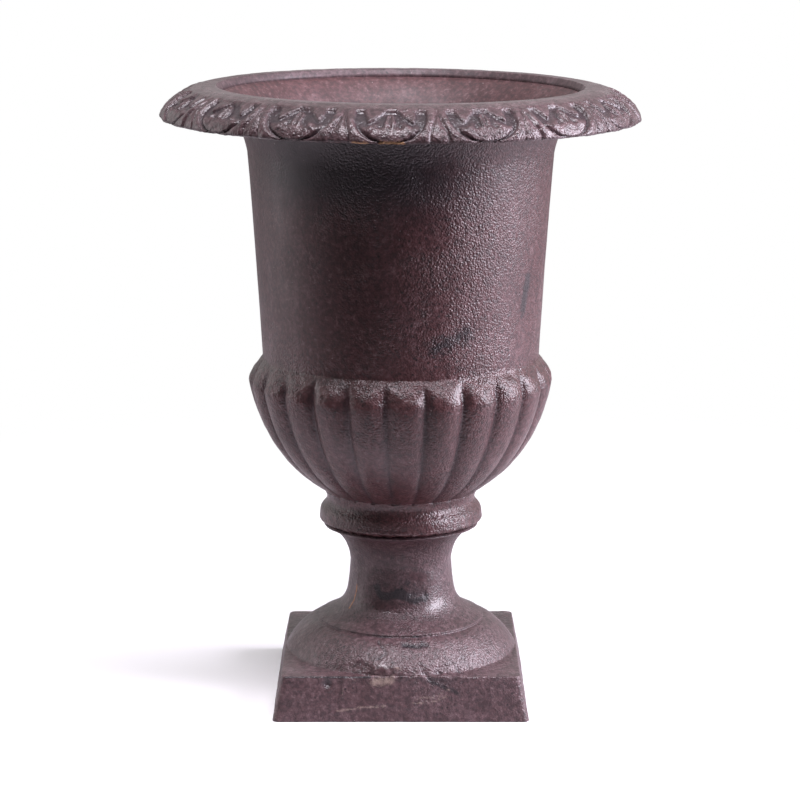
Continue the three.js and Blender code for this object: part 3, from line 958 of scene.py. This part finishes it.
# %% Make groups and materials
def new_group(name, inputs, outputs):
    group = bpy.data.node_groups.new(name, "ShaderNodeTree")
    for label, kind in inputs.items():
        group.interface.new_socket(label, in_out="INPUT", socket_type="NodeSocket" + kind)
    for label, kind in outputs.items():
        group.interface.new_socket(label, in_out="OUTPUT", socket_type="NodeSocket" + kind)
    return group, group.nodes.new("NodeGroupInput"), group.nodes.new("NodeGroupOutput")


def place_group(tree, group, inputs):
    return feed(tree, node(tree, "ShaderNodeGroup", node_tree=group), inputs)


def new_material(name):
    material = bpy.data.materials.new(name)
    material.use_nodes = True
    return material, material.node_tree, material.node_tree.nodes["Principled BSDF"]


def object_position(tree):
    return node(tree, "ShaderNodeTexCoord").outputs["Object"]


print("materials before this lesson's own:", len(bpy.data.materials))

# %% [markdown]
# ## Sand grain
# Iron takes the print of the sand it was poured into, and the lacquer rounds it to something like
# orange peel, with grains a millimetre or two wide. In places the mould was smoother. Grain this
# fine would need millions of vertices, so it is a height for the bump, and the larger lumps stay
# in the mesh.

# %% Group: sand grain
least_grain = 0.12


def make_sand_grain():
    group, given, result = new_group(
        "sand_grain", {"Position": "Vector", "Smooth": "Float"}, {"Height": "Float"})
    position = given.outputs["Position"]
    coarse = noise_value(group, position, scale=400.0)
    fine = noise_value(group, position, scale=1300.0, roughness=0.6)
    cells = node(group, "ShaderNodeTexVoronoi", {"Vector": position, "Scale": 730.0, "Smoothness": 0.25},
                 feature="SMOOTH_F1").outputs["Distance"]
    grains = weighed(group, (coarse, 0.7), (cells, -1.0), (fine, 0.5))
    patches = noise_value(group, position, scale=17.0, detail=3.0, roughness=0.55)
    rough = remap(group, patches, 0.38, 0.62, to_low=0.4)
    rough = math_node(group, "SUBTRACT", rough, given.outputs["Smooth"])
    rough = math_node(group, "MAXIMUM", rough, least_grain)
    group.links.new(math_node(group, "MULTIPLY", grains, rough), result.inputs["Height"])
    return group


sand_grain = make_sand_grain()
print("sand_grain has", len(sand_grain.nodes), "nodes")

# %% [markdown]
# ## Brushed tone
# The lacquer is a thin brown with some purple in it. It is paler where it lies thick, runs in
# faint upright streaks, and has small pale specks of dust. Hollows, creases, dents and the wall
# under the rim are darkened as painted shade. One noise could mix two browns, but the eye would
# soon find its pattern, so several sizes of noise are laid over each other.

# %% Group: brushed tone
stain_color = (0.018, 0.010, 0.012, 1)
worn_color = (0.24, 0.17, 0.18, 1)
pit_color = (0.008, 0.006, 0.007, 1)
# The colour of the painted shade in hollows, creases, dents and under the rim.
painted_shade_color = (0.022, 0.015, 0.02, 1)
dust_color = (0.42, 0.36, 0.36, 1)
streak_scale = (150.0, 150.0, 9.0)


def make_brushed_tone():
    group, given, result = new_group(
        "brushed_tone",
        {"Position": "Vector", "PaintedShade": "Float", "Deep": "Color", "Body": "Color", "Pale": "Color"},
        {"Color": "Color", "Tone": "Float"})
    position = given.outputs["Position"]
    blotch = noise_value(group, position, scale=13.0, detail=4.0, roughness=0.6)
    mottle = noise_value(group, position, scale=75.0, detail=3.0, roughness=0.6)
    stretched = node(group, "ShaderNodeMapping", {"Vector": position, "Scale": streak_scale})
    streak = noise_value(group, stretched.outputs["Vector"], scale=1.0, detail=3.0, roughness=0.6)
    tone = weighed(group, (blotch, 0.5), (mottle, 0.25), (streak, 0.25))
    color = mix_color(group, remap(group, tone, 0.36, 0.62), given.outputs["Deep"], given.outputs["Body"])
    color = mix_color(group, remap(group, tone, 0.52, 0.7, to_high=0.8), color, given.outputs["Pale"])

    stain = noise_value(group, position, scale=330.0, detail=4.0, roughness=0.7)
    color = mix_color(group, remap(group, stain, 0.56, 0.38, to_high=0.6), color, stain_color)
    color = mix_color(group, remap(group, stain, 0.54, 0.7, to_high=0.35), color, worn_color)
    pitted = remap(group, noise_value(group, position, scale=60.0, detail=1.0), 0.52, 0.6, to_high=0.8)
    pit = dots(group, position, scale=210.0, edge=0.22, core=0.1)
    color = mix_color(group, math_node(group, "MULTIPLY", pit, pitted), color, pit_color)
    # Painted shade: the mask fed in here darkens hollows, creases, dents and the wall under the rim.
    dark = math_node(group, "MULTIPLY", given.outputs["PaintedShade"], 0.75, clamp=True)
    color = mix_color(group, dark, color, painted_shade_color)
    dusty = remap(group, noise_value(group, position, scale=90.0, detail=1.0), 0.62, 0.68, to_high=0.5)
    speck = dots(group, position, scale=330.0, edge=0.16, core=0.08)
    color = mix_color(group, math_node(group, "MULTIPLY", speck, dusty), color, dust_color)
    group.links.new(color, result.inputs["Color"])
    group.links.new(tone, result.inputs["Tone"])
    return group


brushed_tone = make_brushed_tone()
print("brushed_tone has", len(brushed_tone.nodes), "nodes")

# %% [markdown]
# ## Broken marks
# Soot, chips and rust never have the soft edge that their masks have. The masks could be made
# finer, but they can't be finer than the mesh. This group eats into a mask with fine noise, so its
# edge turns ragged.

# %% Group: ragged edge
bite = 2.2


def make_ragged_edge():
    group, given, result = new_group(
        "ragged_edge", {"Position": "Vector", "Mask": "Float", "Scale": "Float"}, {"Mask": "Float"})
    grit = noise_value(group, given.outputs["Position"], given.outputs["Scale"], detail=5.0, roughness=0.8)
    spread = math_node(group, "MULTIPLY", math_node(group, "SUBTRACT", grit, 0.5), bite)
    eaten = math_node(group, "ADD", given.outputs["Mask"], spread)
    present = remap(group, given.outputs["Mask"], 0.02, 0.2)
    broken = math_node(group, "MULTIPLY", remap(group, eaten, 0.3, 1.0), present)
    group.links.new(broken, result.inputs["Mask"])
    return group


ragged_edge = make_ragged_edge()
print("ragged_edge has", len(ragged_edge.nodes), "nodes")

# %% [markdown]
# ## The lacquer
# Rim, bowl and foot share one recipe: brown lacquer over sandy iron, with soot, scuffs, chips and
# rust where the masks say so. A mask that a casting lacks reads as 0. There could be one material
# for all, but the three differ in how rough the sand was and how pale the brown is. The foot's
# paler browns are painted light, for the light that the pale ground throws up on it.

# %% Mix the lacquer
mask_names = ("hollow", "soot", "bare", "scuff", "rust", "wet", "dressed")
soot_color = (0.010, 0.010, 0.013, 1)
scuff_color = (0.33, 0.25, 0.21, 1)
bare_color = (0.50, 0.27, 0.13, 1)
rust_color = (0.36, 0.12, 0.02, 1)
lacquer_gloss = 0.65


def lacquered_iron(name, deep, body, pale, grain_depth, roughness):
    material, tree, shader = new_material(name)
    position = object_position(tree)
    masks = {label: node(tree, "ShaderNodeAttribute", attribute_name=label).outputs["Fac"]
             for label in mask_names}

    def ragged(label, scale):
        inputs = {"Position": position, "Mask": masks[label], "Scale": scale}
        return place_group(tree, ragged_edge, inputs).outputs["Mask"]

    browns = {"Deep": deep, "Body": body, "Pale": pale}
    # The hollow mask, which darkens the tone, is painted shade.
    tone = place_group(tree, brushed_tone, {"Position": position, "PaintedShade": masks["hollow"], **browns})
    soot = math_node(tree, "MULTIPLY", ragged("soot", 300.0), 0.8)
    scuff = math_node(tree, "MULTIPLY", ragged("scuff", 500.0), 0.6)
    bare = ragged("bare", 420.0)
    color = mix_color(tree, soot, tone.outputs["Color"], soot_color)
    color = mix_color(tree, scuff, color, scuff_color)
    color = mix_color(tree, bare, color, bare_color)
    color = mix_color(tree, ragged("rust", 500.0), color, rust_color)

    wet = ragged("wet", 150.0)
    smooth = weighed(tree, (masks["dressed"], 0.6), (wet, 0.45))
    grain = place_group(tree, sand_grain, {"Position": position, "Smooth": smooth})
    patchy = remap(tree, tone.outputs["Tone"], 0.35, 0.65, roughness + 0.08, roughness - 0.06)
    duller = weighed(tree, (bare, 0.3), (masks["dressed"], 0.1), (wet, -0.13))
    bump = node(tree, "ShaderNodeBump", {"Height": grain.outputs["Height"], "Distance": grain_depth * mm})
    feed(tree, shader, {
        "Base Color": color,
        "Roughness": math_node(tree, "ADD", patchy, duller, clamp=True),
        "Specular IOR Level": lacquer_gloss,
        "Normal": bump.outputs["Normal"],
    })
    print(name, "has", len(tree.nodes), "nodes")
    return material


rim_lacquer = lacquered_iron("rim_lacquer", deep=(0.055, 0.027, 0.030, 1), body=(0.088, 0.048, 0.054, 1),
                             pale=(0.130, 0.086, 0.095, 1), grain_depth=0.45, roughness=0.33)
bowl_lacquer = lacquered_iron("bowl_lacquer", deep=(0.060, 0.021, 0.022, 1), body=(0.096, 0.039, 0.042, 1),
                              pale=(0.132, 0.072, 0.078, 1), grain_depth=0.5, roughness=0.33)
# The foot's paler browns are painted light from the pale ground it stands near.
foot_lacquer = lacquered_iron("foot_lacquer", deep=(0.068, 0.033, 0.036, 1), body=(0.108, 0.062, 0.069, 1),
                              pale=(0.152, 0.100, 0.109, 1), grain_depth=0.45, roughness=0.38)
rim.data.materials.append(rim_lacquer)
bowl.data.materials.append(bowl_lacquer)
foot.data.materials.append(foot_lacquer)

# %% [markdown]
# ## Zinc plate
# Bolt, nut and washers are plain zinc-plated steel gone dull in the damp: grey metal with pale
# bloom and a few brown spots. New meshes could replace them, but their frame solids have the right
# shape, so they are kept and only get this metal.

# %% Mix the zinc
zinc_color = (0.30, 0.29, 0.27, 1)
bloom_color = (0.46, 0.46, 0.44, 1)
spot_color = (0.16, 0.07, 0.03, 1)
bloom_depth = 0.05
bloom_bump = 0.5


def dull_zinc():
    material, tree, shader = new_material("dull_zinc")
    position = object_position(tree)
    bloom = noise_value(tree, position, scale=160.0, detail=4.0, roughness=0.6)
    bloom = remap(tree, bloom, 0.45, 0.6)
    spots = noise_value(tree, position, scale=380.0, detail=3.0, roughness=0.6)
    spots = remap(tree, spots, 0.62, 0.7)
    color = mix_color(tree, bloom, zinc_color, bloom_color)
    color = mix_color(tree, math_node(tree, "MULTIPLY", spots, 0.8), color, spot_color)
    bump = node(tree, "ShaderNodeBump", {"Height": bloom, "Strength": bloom_bump,
                                         "Distance": bloom_depth * mm})
    feed(tree, shader, {
        "Base Color": color,
        "Roughness": remap(tree, bloom, 0.0, 1.0, 0.38, 0.62),
        "Metallic": remap(tree, spots, 0.0, 1.0, 0.9, 0.2),
        "Normal": bump.outputs["Normal"],
    })
    return material


zinc = dull_zinc()
for name in ("tie_bolt", "bowl_washer", "foot_washer", "hex_nut"):
    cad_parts[name].data.materials.clear()
    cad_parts[name].data.materials.append(zinc)
    print(name, "is", zinc.name)

# %% [markdown]
# ## Drain
# Rain that gathers in the bowl runs off through one drilled hole, beside the bolt, into the open
# foot. A drill leaves a clean round hole, so a boolean with a cylinder cuts it through both
# castings after all the other shaping is done.

# %% Drill the drain hole
drain_radius = 4.5
drain_offset = 19.5
drill_length = 45
drill_sides = 48


def make_drill():
    shape = bmesh.new()
    bmesh.ops.create_cone(shape, cap_ends=True, segments=drill_sides, radius1=drain_radius * mm,
                          radius2=drain_radius * mm, depth=drill_length * mm,
                          matrix=Matrix.Translation((drain_offset * mm, 0, bowl_base * mm)))
    return to_object(shape, "drill")


def drill_through(castings):
    drill = make_drill()
    for casting in castings:
        cut = casting.modifiers.new("drain", "BOOLEAN")
        cut.object = drill
        cut.operation = "DIFFERENCE"
        cut.solver = "MANIFOLD"
        evaluated = casting.evaluated_get(bpy.context.evaluated_depsgraph_get())
        drilled = bpy.data.meshes.new_from_object(evaluated)
        casting.modifiers.remove(cut)
        before = casting.data
        casting.data = drilled
        print(casting.name, "went from", len(before.polygons), "to", len(drilled.polygons), "faces")
        bpy.data.meshes.remove(before)
    bpy.data.objects.remove(drill)


drill_through((bowl, foot))

# %% [markdown]
# ## Fitting
# The fine castings take the place of the frame's own, which could be deleted. They are hidden
# instead, because they still carry the weight and the contact in a simulation. Nothing on the urn
# moves, so every piece belongs to its one body.

# %% Fit the castings to the frame
for casting in (rim, bowl):
    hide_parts("urn_bowl")
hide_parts("pedestal_foot")
for casting in (rim, bowl, foot):
    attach(casting, "root")
    print(casting.name, "spans", [round(side / mm, 1) for side in casting.dimensions], "mm")

# %% [markdown]
# ## Floor
# The urn stands on a white table in a white room. The floor could be lit until it is white, but
# then it would light the urn too much from below. It is white only for the camera, and the urn
# sees a table that ends just in front of it. The floor keeps the urn's shadow.

# %% Lay the floor
floor_half = 6
floor_white = (0.97, 0.97, 0.97, 1)
table_color = (0.6, 0.56, 0.58, 1)
past_table_color = (0.05, 0.05, 0.05, 1)
table_edge = (-0.36, -0.24)
glow_ring = (0.25, 0.9)
floor_roughness = 0.95


def pale_floor():
    material, tree, shader = new_material("pale_floor")
    position = object_position(tree)
    forth = node(tree, "ShaderNodeSeparateXYZ", {"Vector": position}).outputs["Y"]
    seen = node(tree, "ShaderNodeLightPath").outputs["Is Camera Ray"]
    lit = mix_color(tree, remap(tree, forth, *table_edge), past_table_color, table_color)
    color = mix_color(tree, seen, lit, floor_white)
    feed(tree, shader, {"Base Color": color, "Roughness": floor_roughness, "Specular IOR Level": 0.0})
    far = node(tree, "ShaderNodeVectorMath", {0: position}, operation="LENGTH").outputs["Value"]
    glow = math_node(tree, "MULTIPLY", remap(tree, far, *glow_ring), seen)
    white = node(tree, "ShaderNodeEmission", {"Color": (1, 1, 1, 1), "Strength": 1.0})
    mixed = node(tree, "ShaderNodeMixShader",
                 {0: glow, 1: shader.outputs["BSDF"], 2: white.outputs["Emission"]})
    tree.links.new(mixed.outputs["Shader"], tree.nodes["Material Output"].inputs["Surface"])
    return material


floor_shape = bmesh.new()
bmesh.ops.create_grid(floor_shape, x_segments=1, y_segments=1, size=floor_half)
floor = to_object(floor_shape, "floor")
floor.data.materials.append(pale_floor())
print("the floor is", 2 * floor_half, "metres wide")

# %% [markdown]
# ## Lights
# The light falls from above and from a tall window on the right, and the left is weaker. The rim
# shades the wall under it. Small lamps would give hard glints, so each light is a broad soft panel
# that the lacquer mirrors as a soft band.

# %% Hang the lights
light_aim = (0, 0, 0.2)


def softbox(name, place, size, power, color):
    lamp_data = bpy.data.lights.new(name, "AREA")
    lamp_data.shape = "RECTANGLE"
    lamp_data.size, lamp_data.size_y = size
    lamp_data.energy = power
    lamp_data.color = color
    lamp = bpy.data.objects.new(name, lamp_data)
    lamp.location = place
    lamp.rotation_euler = (Vector(light_aim) - lamp.location).to_track_quat("-Z", "Y").to_euler()
    bpy.context.scene.collection.objects.link(lamp)
    print(name, "gives", power, "watts")


softbox("top_light", place=(0, -0.56, 1.6), size=(1.2, 0.3), power=29, color=(0.97, 0.92, 1.0))
softbox("window_right", place=(1.3, -0.2, 0.72), size=(0.8, 1.0), power=42, color=(0.93, 0.88, 1.0))
softbox("fill_left", place=(-1.4, 0.3, 0.5), size=(0.8, 1.1), power=4, color=(1.0, 0.94, 0.98))

# %% [markdown]
# ## The white room
# The room is white for the camera. For the urn, the side behind the camera is dim, which keeps the
# front of the bowl dark. Walls could be modelled, but a world whose brightness depends on the
# direction does the same and casts no shadow of its own.

# %% Fill the room with light
room_turn = 0.35
room_front = 0.12
room_back = 0.65


def white_room():
    world = bpy.data.worlds.new("white_room")
    world.use_nodes = True
    tree = world.node_tree
    direction = node(tree, "ShaderNodeTexCoord").outputs["Generated"]
    forth = node(tree, "ShaderNodeSeparateXYZ", {"Vector": direction}).outputs["Y"]
    behind = remap(tree, forth, -room_turn, room_turn, room_front, room_back)
    seen = node(tree, "ShaderNodeLightPath").outputs["Is Camera Ray"]
    strength = node(tree, "ShaderNodeMix", {0: seen, 2: behind, 3: 1.0}).outputs[0]
    feed(tree, tree.nodes["Background"], {"Color": (1, 1, 1, 1), "Strength": strength})
    return world


bpy.context.scene.world = white_room()
bpy.context.scene.view_settings.view_transform = "Standard"
print("the room is lit from", room_front, "in front to", room_back, "behind the urn")
